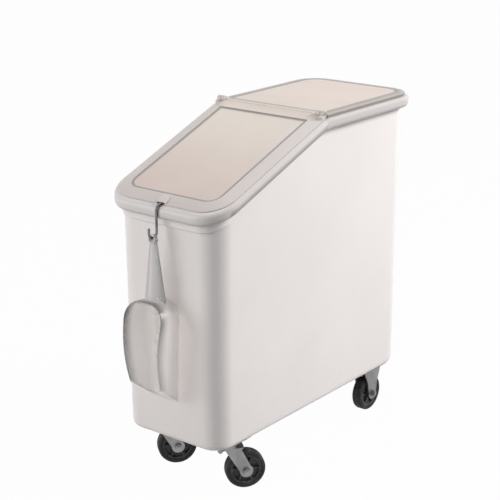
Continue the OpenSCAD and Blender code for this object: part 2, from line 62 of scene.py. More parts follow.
def node_box(name):
    """Lowest and highest corner of a CAD node, in millimetres."""
    return [np.array(corner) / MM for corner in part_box(name)]


def pivot(name):
    """A joint's centre, in millimetres."""
    return np.array(joint[name]["pos_m"]) / MM


# Surfaces

# Shares of a corner's quarter turn, of a straight side, and of a straight side near its ends
ARC = np.linspace(0, 1, 17)
STRAIGHT = np.array([0.02, 0.2, 0.4, 0.6, 0.8, 0.98])
ENDS = STRAIGHT[[0, 1, 4, 5]]
# Radius that a shrinking corner stops at
LEAST_R = 2.0
# Share of the outward normal past which a point faces one side
FACING = 0.95
# Distance within which points are one
SAME_SPOT = 0.0001
# Columns that outline() fills
Outline = namedtuple("Outline", "core reach sign normal")


def softened(corners, steps=5):
    """Polyline of (x, y, radius) corners, rounded: at each corner the arc touches both sides at the
    distance radius / tan(half the corner's angle), and swings evenly from one touching point to the
    other."""
    corners = np.array(corners, float)
    points = corners[:, :2]
    parts = []
    for k, r in enumerate(corners[:, 2]):
        if r == 0:
            parts.append(points[k:k + 1])
            continue
        back, ahead = points[k - 1] - points[k], points[(k + 1) % len(points)] - points[k]
        back, ahead = back / np.linalg.norm(back), ahead / np.linalg.norm(ahead)
        half = math.acos(np.clip(back @ ahead, -1, 1)) / 2
        middle = (back + ahead) / np.linalg.norm(back + ahead)
        centre = points[k] + middle * r / math.sin(half)
        start = points[k] + back * r / math.tan(half) - centre
        end = points[k] + ahead * r / math.tan(half) - centre
        swing = math.pi - 2 * half
        t = np.linspace(0, 1, steps + 1)[:, None] * swing
        parts.append(centre + (np.sin(swing - t) * start + np.sin(t) * end) / math.sin(swing))
    return np.concatenate(parts)


def outline(half_w, front, back, front_r, back_r, sides):
    """Rounded rectangle, counter-clockwise from the front right corner, with points at the given shares of
    its four sides. A point is its core, a corner's centre or a place between two centres, plus its reach,
    the radius there, times the outward normal. Its sign is the way of the corner's diagonal."""
    centre = np.array([[half_w - front_r, front + front_r], [half_w - back_r, back - back_r],
                       [back_r - half_w, back - back_r], [front_r - half_w, front + front_r]])
    radius = np.array([front_r, back_r, back_r, front_r])
    quarter = np.array([[1, -1], [1, 1], [-1, 1], [-1, -1]])
    core, reach, sign, normal = [], [], [], []
    for k, share in enumerate(sides):
        ahead = (k + 1) % 4
        turn = np.radians(90 * (k - 1) + 90 * ARC)
        core += [np.repeat(centre[k:k + 1], len(ARC), 0),
                 centre[k] + share[:, None] * (centre[ahead] - centre[k])]
        reach += [np.full(len(ARC), radius[k]), radius[k] + share * (radius[ahead] - radius[k])]
        sign += [np.repeat(quarter[k:k + 1], len(ARC), 0),
                 quarter[k] + share[:, None] * (quarter[ahead] - quarter[k])]
        normal += [np.stack([np.cos(turn), np.sin(turn)], 1),
                   np.repeat([[math.cos(turn[-1]), math.sin(turn[-1])]], len(share), 0)]
    return Outline(*(np.concatenate(column) for column in (core, reach, sign, normal)))


def spread(shape, out):
    """An outline moved outward by each row of out, which holds one value or a value for each point. Where a
    corner would turn inside out its radius stops at LEAST_R, and its centre slips along the diagonal
    instead."""
    grown = shape.reach + np.reshape(out, (len(out), -1))
    turn = np.maximum(grown, LEAST_R)
    return shape.core + (grown - turn)[..., None] * shape.sign + turn[..., None] * shape.normal


def skin(grid, looped=False):
    """Closed surface over rows of points whose columns run round: quads between neighbouring rows, and
    either a cap on the first and last row or, for a looped grid, quads from the last row to the first."""
    rows, columns = grid.shape[:2]
    index = np.arange(rows * columns).reshape(rows, columns)
    below = index if looped else index[:-1]
    above = np.roll(index, -1, 0) if looped else index[1:]
    quads = np.stack([below, np.roll(below, -1, 1), np.roll(above, -1, 1), above], -1).reshape(-1, 4)
    caps = [] if looped else [index[0][::-1], index[-1]]
    return grid.reshape(-1, 3), [quads] + [cap[None] for cap in caps]


def lathe(centre, axis, loop, steps=96):
    """Ring about a level axis: a closed loop of (along the axis, radius) pairs, turned through a full
    circle. A point is the centre, plus its height along the axis, plus its radius times the turning
    direction."""
    axis = np.asarray(axis, float) / np.linalg.norm(axis)
    side = np.cross(axis, [0, 0, 1])
    side /= np.linalg.norm(side)
    lift = np.cross(axis, side)
    turn = np.linspace(0, 2 * np.pi, steps, endpoint=False)[None, :, None]
    around = np.cos(turn) * side + np.sin(turn) * lift
    loop = loop[:, None, :]
    return skin(centre + loop[..., :1] * axis + loop[..., 1:] * around, looped=True)


def put(name, surfaces, node, crease=38, edge=None):
    """One piece made of closed surfaces, which takes a CAD node's place, body and finish. Points on one
    spot are joined, and it is shaded smooth up to the crease angle, in degrees. Where edge is given, it is
    a value of painted shade at each point, kept as the mesh's own attribute for the finish to read."""
    start, points, faces = 0, [], []
    for spots, groups in surfaces:
        points.append(spots)
        faces += [face for group in groups for face in (group + start).tolist()]
        start += len(spots)
    mesh = bpy.data.meshes.new(name)
    mesh.from_pydata((np.concatenate(points) * MM).tolist(), [], faces)
    if edge is not None:
        mesh.attributes.new("edge", "FLOAT", "POINT").data.foreach_set("value", np.asarray(edge, np.float32))
    shaped = bmesh.new()
    shaped.from_mesh(mesh)
    bmesh.ops.remove_doubles(shaped, verts=shaped.verts, dist=SAME_SPOT * MM)
    shaped.to_mesh(mesh)
    shaped.free()
    mesh.materials.append(finishes[slot_of[node]])
    mesh.shade_smooth()
    mesh.set_sharp_from_angle(angle=math.radians(crease))
    piece = bpy.data.objects.new(name, mesh)
    bpy.context.scene.collection.objects.link(piece)
    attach(piece, body_of[node])
    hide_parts(node)


# Finishes

class Finish:
    """A principled material on Object coordinates: constants go on the shader's own sockets, and patterns
    are noise or cells that drive colour, roughness and bump."""

    # A Mix node's colour sockets go by place, because its other sockets have the same names
    MIX_FIRST, MIX_SECOND, MIX_RESULT = 6, 7, 2

    def __init__(self, name, **constants):
        self.material = bpy.data.materials.new(name)
        self.material.use_nodes = True
        self.tree = self.material.node_tree
        self.shader = self.tree.nodes["Principled BSDF"]
        for socket, value in constants.items():
            self.shader.inputs[socket.replace("_", " ")].default_value = value
        self.place = self.tree.nodes.new("ShaderNodeTexCoord").outputs["Object"]

    def add(self, kind, settings=None, **inputs):
        """A new node of a kind, with its settings and what goes into its sockets."""
        made = self.tree.nodes.new("ShaderNode" + kind)
        for key, value in (settings or {}).items():
            setattr(made, key, value)
        for key, value in inputs.items():
            self.feed(made.inputs[key.replace("_", " ")], value)
        return made

    def feed(self, socket, value):
        """A link into a socket from another one, or a constant on it."""
        if isinstance(value, bpy.types.NodeSocket):
            self.tree.links.new(value, socket)
        else:
            socket.default_value = value

    def grain(self, scale, detail, stretch=None):
        """Noise with its features about 1 / scale metres across, run long along the axes with a small
        stretch."""
        place = self.place
        if stretch:
            place = self.add("Mapping", Vector=place, Scale=stretch).outputs["Vector"]
        return self.add("TexNoise", Vector=place, Scale=scale, Detail=detail).outputs["Fac"]

    def cells(self, scale):
        """Distance to the nearest of scattered cells, each about 1 / scale metres across."""
        return self.add("TexVoronoi", Vector=self.place, Scale=scale).outputs["Distance"]

    def span(self, value, low, high, start, end):
        """The value's range low to high, laid onto start to end and held there."""
        made = self.add("MapRange", Value=value, From_Min=low, From_Max=high, To_Min=start, To_Max=end)
        return made.outputs["Result"]

    def arithmetic(self, operation, first, second):
        """Two values put together by an operation of the Math node."""
        made = self.add("Math", {"operation": operation})
        self.feed(made.inputs[0], first)
        self.feed(made.inputs[1], second)
        return made.outputs[0]

    def times(self, first, second):
        return self.arithmetic("MULTIPLY", first, second)

    def plus(self, first, second):
        return self.arithmetic("ADD", first, second)

    def height(self):
        """Height above the floor at rest, in metres."""
        return self.add("SeparateXYZ", Vector=self.place).outputs["Z"]

    def blend(self, share, first, second):
        """The first colour where the share is 0, the second where it is 1."""
        made = self.add("Mix", {"data_type": "RGBA"})
        self.feed(made.inputs[0], share)
        self.feed(made.inputs[self.MIX_FIRST], first)
        self.feed(made.inputs[self.MIX_SECOND], second)
        return made.outputs[self.MIX_RESULT]

    def colour(self, value):
        self.feed(self.shader.inputs["Base Color"], value)

    def rough(self, value):
        self.feed(self.shader.inputs["Roughness"], value)

    def bump(self, height, depth, strength):
        """Relief of the given depth, in millimetres, on top of any relief already there."""
        before = self.shader.inputs["Normal"].links
        made = self.add("Bump", Height=height, Strength=strength, Distance=depth * MM)
        if before:
            self.feed(made.inputs["Normal"], before[0].from_socket)
        self.feed(self.shader.inputs["Normal"], made.outputs["Normal"])

    def painted_shade(self):
        """The piece's own edge attribute, which carries painted shade: high on its darkened edges, steps and rim,
        0 on its faces.
        """
        return self.add("Attribute", {"attribute_name": "edge"}).outputs["Fac"]

    def lamps_pass(self, share, tint):
        """Lets this share of the lamps' light through, so that clear plastic throws only a faint shadow."""
        mix = self.add("MixShader", Fac=self.times(self.add("LightPath").outputs["Is Shadow Ray"], share))
        self.feed(mix.inputs[1], self.shader.outputs["BSDF"])
        self.feed(mix.inputs[2], self.add("BsdfTransparent", Color=tint).outputs["BSDF"])
        self.feed(self.tree.nodes["Material Output"].inputs["Surface"], mix.outputs["Shader"])


def tub_plastic():
    """Satin white polyethylene: a faint warm mottle, pebbled skin, scuffs that gather near the floor, and
    painted grey shade on the rim, darkest on the roll below it as a painted shadow."""
    f = Finish("white_polyethylene", IOR=1.5, Specular_IOR_Level=0.4)
    mottle = f.span(f.grain(5.0, 4.0), 0.35, 0.65, 0.0, 1.0)
    base = f.blend(mottle, (0.83, 0.79, 0.775, 1), (0.80, 0.755, 0.74, 1))
    low = f.span(f.height(), 0.10, 0.34, 1.0, 0.0)
    scuff = f.span(f.grain(30.0, 8.0, (1.0, 1.0, 6.0)), 0.60, 0.78, 0.0, 1.0)
    wall = f.blend(f.times(f.times(scuff, low), 0.35), base, (0.60, 0.57, 0.56, 1))
    # Painted shade: the edge attribute turns the rim and the roll under it dark grey
    f.colour(f.blend(f.painted_shade(), wall, (0.30, 0.28, 0.275, 1)))
    f.rough(f.plus(f.span(f.grain(40.0, 6.0), 0.3, 0.7, 0.36, 0.46), f.times(scuff, 0.10)))
    f.bump(f.grain(650.0, 2.0), 0.05, 0.35)
    f.bump(f.grain(14.0, 2.0), 0.5, 0.25)
    return f.material


def lid_plastic():
    """Hazy polycarbonate: warmer and darker low down and on the level rear lid, and wiping marks that only
    change the gloss. Its borders carry a painted grey shade, and its steps and outer edges painted dark
    lines, which stand in for the shade and the gaps there."""
    f = Finish("hazy_polycarbonate", IOR=1.58, Transmission_Weight=0.14, Specular_IOR_Level=0.15)
    slope_clear = f.span(f.height(), 0.60, 0.72, 0.0, 0.9)
    patches = f.span(f.grain(7.0, 3.0), 0.3, 0.7, -0.08, 0.1)
    level_lid_darker = f.span(f.height(), 0.735, 0.743, 0.0, -0.5)
    clear = f.plus(f.plus(slope_clear, patches), level_lid_darker)
    sheet = f.blend(clear, (0.68, 0.56, 0.51, 1), (0.85, 0.775, 0.705, 1))
    # Painted shade: grey on the borders, and dark lines on the steps and outer edges, from the edge attribute
    border = f.blend(f.span(f.painted_shade(), 0.0, 0.25, 0.0, 0.75), sheet, (0.71, 0.67, 0.65, 1))
    f.colour(f.blend(f.span(f.painted_shade(), 0.25, 1.0, 0.0, 1.0), border, (0.24, 0.215, 0.195, 1)))
    wiped = f.span(f.grain(14.0, 1.0, (1.0, 5.0, 1.0)), 0.35, 0.7, 0.0, 1.0)
    f.rough(f.plus(f.span(f.grain(9.0, 1.0), 0.3, 0.7, 0.36, 0.44), f.times(wiped, 0.05)))
    return f.material


def scoop_plastic():
    """Clear polycarbonate: a faint warm tint that drifts with the flow of the mould, and a gloss dulled by
    use in wide soft patches. Cut and moulded edges carry painted dark lines, which stand in for the light
    that the clear plastic loses there."""
    f = Finish("clear_scoop_polycarbonate", IOR=1.58, Transmission_Weight=0.62)
    flow = f.span(f.grain(16.0, 2.0, (1.0, 1.0, 0.3)), 0.35, 0.65, 0.0, 1.0)
    tint = f.blend(flow, (0.96, 0.94, 0.93, 1), (0.93, 0.905, 0.895, 1))
    # Painted shade: the edge attribute draws dark lines on the scoop's edges
    f.colour(f.blend(f.painted_shade(), tint, (0.27, 0.265, 0.262, 1)))
    f.rough(f.span(f.grain(9.0, 0.0), 0.3, 0.7, 0.25, 0.33))
    f.lamps_pass(0.75, (0.93, 0.92, 0.915, 1))
    return f.material


def pin_plastic():
    """Grey moulded pin: speckled, satin."""
    f = Finish("grey_pin_plastic", IOR=1.5)
    f.colour(f.blend(f.grain(300.0, 4.0), (0.30, 0.30, 0.31, 1), (0.40, 0.40, 0.41, 1)))
    f.rough(f.span(f.grain(200.0, 4.0), 0.3, 0.7, 0.35, 0.5))
    f.bump(f.grain(1200.0, 2.0), 0.03, 0.3)
    return f.material


def drawn_wire():
    """Dark drawn steel: streaks along the wire, tarnish in patches."""
    f = Finish("drawn_steel_wire", Metallic=1.0)
    tarnish = f.span(f.grain(70.0, 6.0), 0.4, 0.65, 0.0, 1.0)
    f.colour(f.blend(tarnish, (0.20, 0.20, 0.21, 1), (0.11, 0.11, 0.115, 1)))
    f.rough(f.span(f.grain(500.0, 4.0, (1.0, 1.0, 0.1)), 0.3, 0.7, 0.28, 0.5))
    f.bump(f.grain(900.0, 3.0, (1.0, 1.0, 0.1)), 0.03, 0.4)
    return f.material


def zinc_plate():
    """Zinc plate gone dull: soft crystal cells, a bluish to warm drift, rubbed patches."""
    f = Finish("dull_zinc_plate", Metallic=1.0)
    drift = f.span(f.grain(35.0, 4.0), 0.35, 0.65, 0.0, 1.0)
    f.colour(f.blend(drift, (0.31, 0.31, 0.318, 1), (0.235, 0.23, 0.223, 1)))
    crystals = f.span(f.cells(260.0), 0.0, 0.9, 0.30, 0.44)
    rubbed = f.span(f.grain(120.0, 7.0), 0.55, 0.8, 0.0, 0.14)
    f.rough(f.plus(crystals, rubbed))
    f.bump(f.cells(260.0), 0.03, 0.3)
    f.bump(f.grain(700.0, 5.0, (1.0, 1.0, 0.2)), 0.02, 0.3)
    return f.material


def ball_steel():
    """Polished steel with fine wear lines and a film of grease."""
    f = Finish("polished_ball_steel", Metallic=1.0)
    film = f.span(f.grain(180.0, 5.0), 0.4, 0.7, 0.0, 1.0)
    f.colour(f.blend(film, (0.62, 0.62, 0.63, 1), (0.45, 0.43, 0.40, 1)))
    f.rough(f.span(f.grain(400.0, 4.0), 0.3, 0.7, 0.12, 0.28))
    f.bump(f.grain(1500.0, 3.0), 0.01, 0.3)
    return f.material


def hub_plastic():
    """Dark grey moulded hub: a dusty bloom over a pebbled skin."""
    f = Finish("dark_hub_plastic", IOR=1.5, Specular_IOR_Level=0.4)
    bloom = f.span(f.grain(90.0, 6.0), 0.45, 0.75, 0.0, 1.0)
    f.colour(f.blend(bloom, (0.045, 0.045, 0.047, 1), (0.12, 0.115, 0.11, 1)))
    f.rough(f.span(f.grain(160.0, 5.0), 0.3, 0.7, 0.42, 0.62))
    f.bump(f.grain(1100.0, 2.0), 0.05, 0.35)
    return f.material


def tyre_rubber():
    """Black rubber: a grey film of floor dust, tiny pits, fine scuffs."""
    f = Finish("black_tyre_rubber", IOR=1.52, Specular_IOR_Level=0.35)
    dust = f.span(f.grain(60.0, 8.0), 0.48, 0.75, 0.0, 1.0)
    f.colour(f.blend(dust, (0.018, 0.018, 0.019, 1), (0.075, 0.07, 0.066, 1)))
    f.rough(f.span(f.grain(140.0, 6.0), 0.3, 0.7, 0.55, 0.78))
    f.bump(f.grain(900.0, 3.0), 0.06, 0.4)
    f.bump(f.grain(220.0, 4.0), 0.08, 0.25)
    return f.material


finishes = {
    "white_plastic": tub_plastic(), "clear_plastic": lid_plastic(), "grey_pin": pin_plastic(),
    "wire": drawn_wire(), "scoop_plastic": scoop_plastic(), "zinc": zinc_plate(),
    "ball_steel": ball_steel(), "hub_plastic": hub_plastic(), "tyre_rubber": tyre_rubber(),
}
for name, part in frame["nodes"].items():
    for held in part.material_slots:
        held.material = finishes[slot_of[name]]

# Tub

tub_low, tub_high = node_box("tub")
SLOPE = math.radians(20.4)
RIDGE_SOFT = 2.0
# Wall and floor; the draft is how far the wall leans in at the floor
WALL_T = 4.0
FLOOR_T = 5.0
CORNER_R = 46.0
EDGE_R = 12.0
DRAFT = 3.0
# Rows of the wall between bottom edge and rim: heights, and the draft gone by then or the share still left
EDGE_RUN = 6.0
EDGE_GONE = 0.1
OUTER_ROW = 100.0
OUTER_LEFT = 0.8
INNER_ROW = 60.0
INNER_LEFT = 0.9
# Inset of the flat floor's ring from its rounded edge
FLOOR_RING = 30.0
# Band under the front rim, the run of wall that leads into it, and the margin past which a row is off it
BAND_OUT = 5.5
BAND_DROP = 46.0
BAND_RISE = 4.0
BAND_R = 3.0
BAND_TOP_R = 2.5
BAND_LEAD = 8.0
BAND_LEAD_IN = 0.2
PAST_BAND = 0.05
# Rim, with its rolled skirt and the channel behind that
RIM_OUT = 19.0
RIM_DROP = 24.0
RIM_T = 4.5
RIM_R = 6.5
RIM_INNER_R = 2.5
SKIRT_T = 12.0
SKIRT_R = 10.0
SKIRT_INNER_R = 1.5
CHANNEL_R = 2.0
# Edge values of the painted grey shade on the rim, and where the painted shadow on its roll starts and how far
# down it grows
RIM_SHADE = 0.28
REAR_RIM_SHADE = 0.48
ROLL_SHADE = 0.2
SIDE_ROLL_SHADE = 0.65
SIDE_ROLL_START = 7.0
ROLL_RUN = 8.0
# Drop of the rim up to which a place counts as behind the ridge
REAR_DROP = 2.0
# What a row's height follows: its own level, halfway between underside and rim, or the rim
LEVEL, HALFWAY, HUNG = 0.0, 0.5, 1.0
# Distances from the ridge, and shares of the long sides, where the tub has points
RIDGE_MARKS = np.array([-40, -24, -12, -6, -3, -1, 0, 1, 3, 6, 12, 24, 40])
SIDE_MARKS = [0.1, 0.3, 0.7, 0.9]
wall_hw = tub_high[0] - RIM_OUT
mid_y = (tub_low[1] + tub_high[1]) / 2
wall_hd = (tub_high[1] - tub_low[1]) / 2 - RIM_OUT
rim_z = tub_high[2]
under_z = tub_low[2]
hinge = pivot("front_lid_hinge")


def rim_height(y):
    """Height of the rim: level behind the ridge and sloping down in front of it, with the crease eased by a
    square root that keeps it just under both planes."""
    fall = (hinge[1] - y) * math.tan(SLOPE)
    return rim_z - (fall + np.sqrt(fall ** 2 + RIDGE_SOFT ** 2)) / 2


def side_shares():
    """Shares of the tub's long sides, closer together near the corners and at the ridge."""
    length = 2 * (wall_hd - CORNER_R)
    ridge = (hinge[1] - mid_y) / length + 0.5
    return np.sort(np.concatenate([ENDS, SIDE_MARKS, ridge + RIDGE_MARKS / length]))


def bottom_edge(inset, radius, lowest):
    """Level rows of a rounded bottom edge: a quarter circle from the floor, out and up to the wall."""
    turn = np.linspace(0, np.pi / 2, 9)
    out = -DRAFT - inset - radius * (1 - np.sin(turn))
    return np.stack([out, lowest + radius * (1 - np.cos(turn)), LEVEL + 0 * out, 0 * out], 1)


def tub_rows():
    """Rows of (outward, height, follow, ledge), from the underside, up outside, over the rim and down
    inside to the floor. The height of a row that follows the rim counts from there. The ledge is the part
    of the outward distance that belongs to the band under the front rim."""
    rim = softened([
        (-BAND_LEAD_IN, -BAND_DROP - BAND_LEAD, 0), (0, -BAND_DROP, BAND_R),
        (BAND_OUT, -BAND_DROP + BAND_RISE, BAND_TOP_R), (BAND_OUT, -RIM_T, CHANNEL_R),
        (RIM_OUT - SKIRT_T, -RIM_T, CHANNEL_R), (RIM_OUT - SKIRT_T, -RIM_DROP, SKIRT_INNER_R),
        (RIM_OUT, -RIM_DROP, SKIRT_R), (RIM_OUT, 0, RIM_R),
        (-WALL_T, 0, RIM_INNER_R), (-WALL_T, -BAND_DROP, 0)])
    out = rim[:, 0]
    below = np.arange(len(rim)) < np.argmax(out > BAND_OUT + PAST_BAND)
    ledge = np.where(below, np.clip(out, 0, BAND_OUT), 0)
    floor_out = -DRAFT - EDGE_R - FLOOR_RING
    return np.concatenate([
        [[floor_out, under_z, LEVEL, 0]],
        bottom_edge(0, EDGE_R, under_z),
        [[-DRAFT + EDGE_GONE, under_z + EDGE_R + EDGE_RUN, LEVEL, 0],
         [-DRAFT * OUTER_LEFT, under_z + OUTER_ROW, LEVEL, 0],
         [-DRAFT / 2, 0, HALFWAY, 0]],
        np.stack([out, rim[:, 1], HUNG + 0 * out, ledge], 1),
        [[-WALL_T - DRAFT / 2, 0, HALFWAY, 0],
         [-WALL_T - DRAFT * INNER_LEFT, under_z + INNER_ROW, LEVEL, 0]],
        bottom_edge(WALL_T, EDGE_R - WALL_T, under_z + FLOOR_T)[::-1],
        [[floor_out, under_z + FLOOR_T, LEVEL, 0]]])


def tub_wall():
    """Tub: its rows carried round a rounded rectangle, each at its level, at its distance from the rim, or
    halfway between underside and rim. The ledge fades with the share of the outward normal that faces
    forward."""
    rows = tub_rows()
    shares = side_shares()
    shape = outline(wall_hw, mid_y - wall_hd, mid_y + wall_hd, CORNER_R, CORNER_R,
                    (shares, STRAIGHT, 1 - shares[::-1], STRAIGHT))
    forward = np.maximum(-shape.normal[:, 1], 0)
    out, drop, follow, ledge = (column[:, None] for column in rows.T)
    plan = spread(shape, out - ledge * (1 - forward))
    rim_line = rim_height(plan[..., 1])
    middle = (rim_line + under_z) / 2
    height = np.where(follow == LEVEL, drop, np.where(follow == HUNG, rim_line + drop, middle))
    behind = rim_height(shape.core[:, 1]) >= rim_z - REAR_DROP
    sloped = (np.abs(shape.normal[:, 0]) > FACING) & ~behind
    return *skin(np.concatenate([plan, height[..., None]], -1)), rim_painted_shade(rows, sloped, behind).ravel()


def rim_painted_shade(rows, sloped, behind):
    """Painted shade at each point of the tub's rim: some on its top and face, more on those behind the ridge,
    and more again on the roll below them, a painted shadow that is darkest, and starts higher up, along
    the sloped sides."""
    out, drop, follow, _ = (column[:, None] for column in rows.T)
    start = np.where(sloped, SIDE_ROLL_START, RIM_DROP - SKIRT_R)
    roll = np.clip((-drop - start) / ROLL_RUN, 0, 1) * np.where(sloped, SIDE_ROLL_SHADE, ROLL_SHADE)
    shaded = np.where(behind, REAR_RIM_SHADE, RIM_SHADE) + roll
    return np.where((follow == HUNG) & (out > RIM_OUT - SKIRT_T), shaded, 0)


# The rim's painted shade and the painted shadow under it go in as the edge attribute
*shell, rim_shade = tub_wall()
put("tub_moulding", [shell], "tub", edge=rim_shade)

# Lids

# Heights count from the hinge axis, and outward distances from a lid's edge. REST is the gap between pieces
# that lie on each other, and SEAM is half the gap between the lids
LID_INSET = 9.0
LID_TOP = -1.0
LID_T = 3.0
REST = 0.3
SEAM = 0.7
SEAM_R = 6.0
EASE = 0.6
RIB_OUT = 15.5
RIB_T = 2.5
RIB_H = 6.0
# Ends of a step's painted dark line and of the painted shade inside it
STEP_DARK = 3.6
STEP_SHADE = 9.0
# Front lid: its border, the step down to its panel, and the innermost rings above and below
FRAME_W = 27.0
FRONT_SAG = 5.4
FRONT_EDGE_R = 2.4
FRONT_FOOT_R = 0.5
PANEL_DROP = 1.6
STEP_OUT = 0.6
STEP_IN = 0.8
FRONT_STEP_R = 0.7
PANEL_RING = 16.0
UNDER_RING = 14.0
# Rear lid: its border, the step down to its panel, and its innermost rings
PLATEAU_IN = 17.0
REAR_SAG = 1.6
REAR_EDGE_R = 1.2
REAR_DOWN = 0.5
REAR_STEP = 1.4
REAR_RING = 40.0
# Edge values of a lid's painted shade on its step, borders and outer edges, the ears' edge value, and the rows
# that count as step and outer edge
STEP_TONE = 0.8
FRONT_BORDER_TONE = 0.25
FRONT_EDGE_TONE = 0.34
REAR_BORDER_TONE = 0.55
REAR_EDGE_TONE = 0.9
EAR_TONE = 0.2
FRONT_STEP_PAST = 0.4
REAR_STEP_PAST = 0.3
DARK_PAST = 0.1
EDGE_BAND = 0.4
# Hinge ears and their pins
EAR_R = 6.5
EAR_W = 10.0
EAR_GAP = 0.8
EAR_PLAY = 0.5
EAR_SOFT = 0.7
WEB_L = 14.0
PIN_R = 2.55
PIN_HEAD = 1.2
# Keeps a division away from zero
TINY = 1e-6
# Notch over the hook: its width, what is left above it, and shares of the width where the edge has points
RELIEF_W = 20.0
RELIEF_SKIN = 1.7
RELIEF_HALF = 0.51
RELIEF_MARKS = np.array([-0.52, -0.5, -0.4, -0.2, 0, 0.2, 0.4, 0.5, 0.52])
# Points of the seam edge: half the gap of a close pair, and the even ones between the notches
PAIR_HALF = 0.15
SEAM_MARKS = np.linspace(-0.9, 0.9, 7)
SEAM_CLEAR = 6.0
rear_base = rim_z - hinge[2] + REST
front_base = (rim_z - hinge[2]) * math.cos(SLOPE) + REST
lid_hw = tub_high[0] - LID_INSET
lid_r = CORNER_R + RIM_OUT - LID_INSET
front_len = (hinge[1] - tub_low[1] - LID_INSET) / math.cos(SLOPE)
rear_len = tub_high[1] - LID_INSET - hinge[1]
outer_ear = node_box("hinge_pins")[1][0] - PIN_HEAD - EAR_W
inner_ear = outer_ear - EAR_W - EAR_PLAY


def laid(points, tilt):
    """Points of a lid, given across, along and above the hinge axis, tilted about it and put in place."""
    across, along, above = np.moveaxis(points, -1, 0)
    return hinge + np.stack([across, along * math.cos(tilt) - above * math.sin(tilt),
                             along * math.sin(tilt) + above * math.cos(tilt)], -1)


def seam_shares(stops):
    """Shares of a lid's seam edge, with a close pair of points at each place where a notch starts or
    ends."""
    half = lid_hw - SEAM_R
    spots = np.concatenate([[stop - PAIR_HALF, stop + PAIR_HALF] for stop in stops])
    spots = spots[spots < half]
    spots = np.concatenate([-spots, spots, SEAM_MARKS * (min(stops) - SEAM_CLEAR)])
    return np.sort(spots / half + 1) / 2


def rib(under, base):
    """Corners of the rib inside the tub's rim, from the lid's underside to its foot below the lid's
    base."""
    foot = base - RIB_H
    return [(-RIB_OUT - RIB_T, under, EASE), (-RIB_OUT - RIB_T, foot, EASE), (-RIB_OUT, foot, EASE)]


def front_section():
    """Front lid's section: under the panel and round the rib, out to the edge, over the border and down its
    step."""
    panel = LID_TOP - PANEL_DROP
    under = panel - LID_T
    return softened([
        (-FRAME_W - UNDER_RING, under, 0), *rib(under, front_base), (-RIB_OUT, under, EASE),
        (-LID_T, under, EASE), (-LID_T, front_base, FRONT_FOOT_R), (0, front_base, EASE),
        (0, LID_TOP, FRONT_EDGE_R), (-FRAME_W + STEP_OUT, LID_TOP, FRONT_STEP_R),
        (-FRAME_W - STEP_IN, panel, FRONT_STEP_R), (-FRAME_W - STEP_DARK, panel, 0),
        (-FRAME_W - STEP_SHADE, panel, 0), (-FRAME_W - PANEL_RING, panel, 0)])


def rear_section():
    """Rear lid's section, in the same order as the front lid's."""
    panel = LID_TOP - REAR_DOWN
    under = LID_TOP - LID_T
    return softened([
        (-REAR_RING, under, 0), *rib(under, rear_base), (-RIB_OUT, rear_base, EASE), (0, rear_base, EASE),
        (0, LID_TOP, REAR_EDGE_R), (-PLATEAU_IN, LID_TOP, EASE),
        (-PLATEAU_IN - REAR_STEP, panel, EASE), (-PLATEAU_IN - STEP_DARK, panel, 0),
        (-PLATEAU_IN - STEP_SHADE, panel, 0), (-REAR_RING, panel, 0)])


def lid_rows(shape, section, base, sag, width, fall):
    """A lid's section of (outward, above) pairs carried round its outline. Above the base its heights
    shrink toward the outer edge, by the sag there and evenly less over the width, times each point's
    fall."""
    out, above = section[:, :1], section[:, 1:]
    plan = spread(shape, section[:, 0])
    shrink = sag / (LID_TOP - base) * np.clip(1 + out / width, 0, 1) * fall
    above = np.where(above > base, base + (above - base) * (1 - shrink), above)
    return np.concatenate([plan, above[..., None]], -1)


def step_marks(section, inner, past, border, edge, fall):
    """Painted shade at each point of a lid, on its upper side: strong on the rows of the step inside its
    border, down to the end of the painted dark line, the border's own value outside them and the edge's
    on the edge, both times the point's fall."""
    out = section[:, 0]
    upper = np.arange(len(section)) >= np.argmax(out)
    high = -inner + past
    step = upper & (out >= -inner - STEP_DARK - DARK_PAST) & (out <= high)
    rim = np.where(upper & (out > high), np.where(out > -EDGE_BAND, edge, border), 0)
    return (STEP_TONE * step[:, None] + rim[:, None] * fall).ravel()


def hinge_ear(start, low, way, tilt):
    """Hinge ear: seen along the pin it reaches, in each direction, as far as the larger of a barrel round
    the pin and a web that runs back to the lid and down to its base; a loop of that section runs round the
    bore. A point of the loop has its place across, and a radius that is a share of the reach and some
    more."""
    turn = np.linspace(-np.pi, np.pi, 96, endpoint=False)
    along, above = np.cos(turn), np.sin(turn)
    web = np.minimum(WEB_L / np.maximum(way * along, TINY), low / np.minimum(above, -TINY))
    reach = np.where((way * along > 0) & (above <= 0), np.maximum(EAR_R, web), EAR_R)
    section = np.array([(0, 0, PIN_R), (0, 1, -EAR_SOFT), (EAR_SOFT, 1, 0),
                        (EAR_W - EAR_SOFT, 1, 0), (EAR_W, 1, -EAR_SOFT), (EAR_W, 0, PIN_R)])
    across, share, more = (column[:, None] for column in section.T)
    radius = share * reach + more
    points = np.stack([start + across + 0 * radius, radius * along, radius * above], -1)
    return skin(laid(points, tilt), looped=True)


def mirrored(surface):
    """The same surface on the other side of the bin, with its faces turned so that they still look
    outward."""
    points, groups = surface
    return points * [-1, 1, 1], [group[:, ::-1] for group in groups]


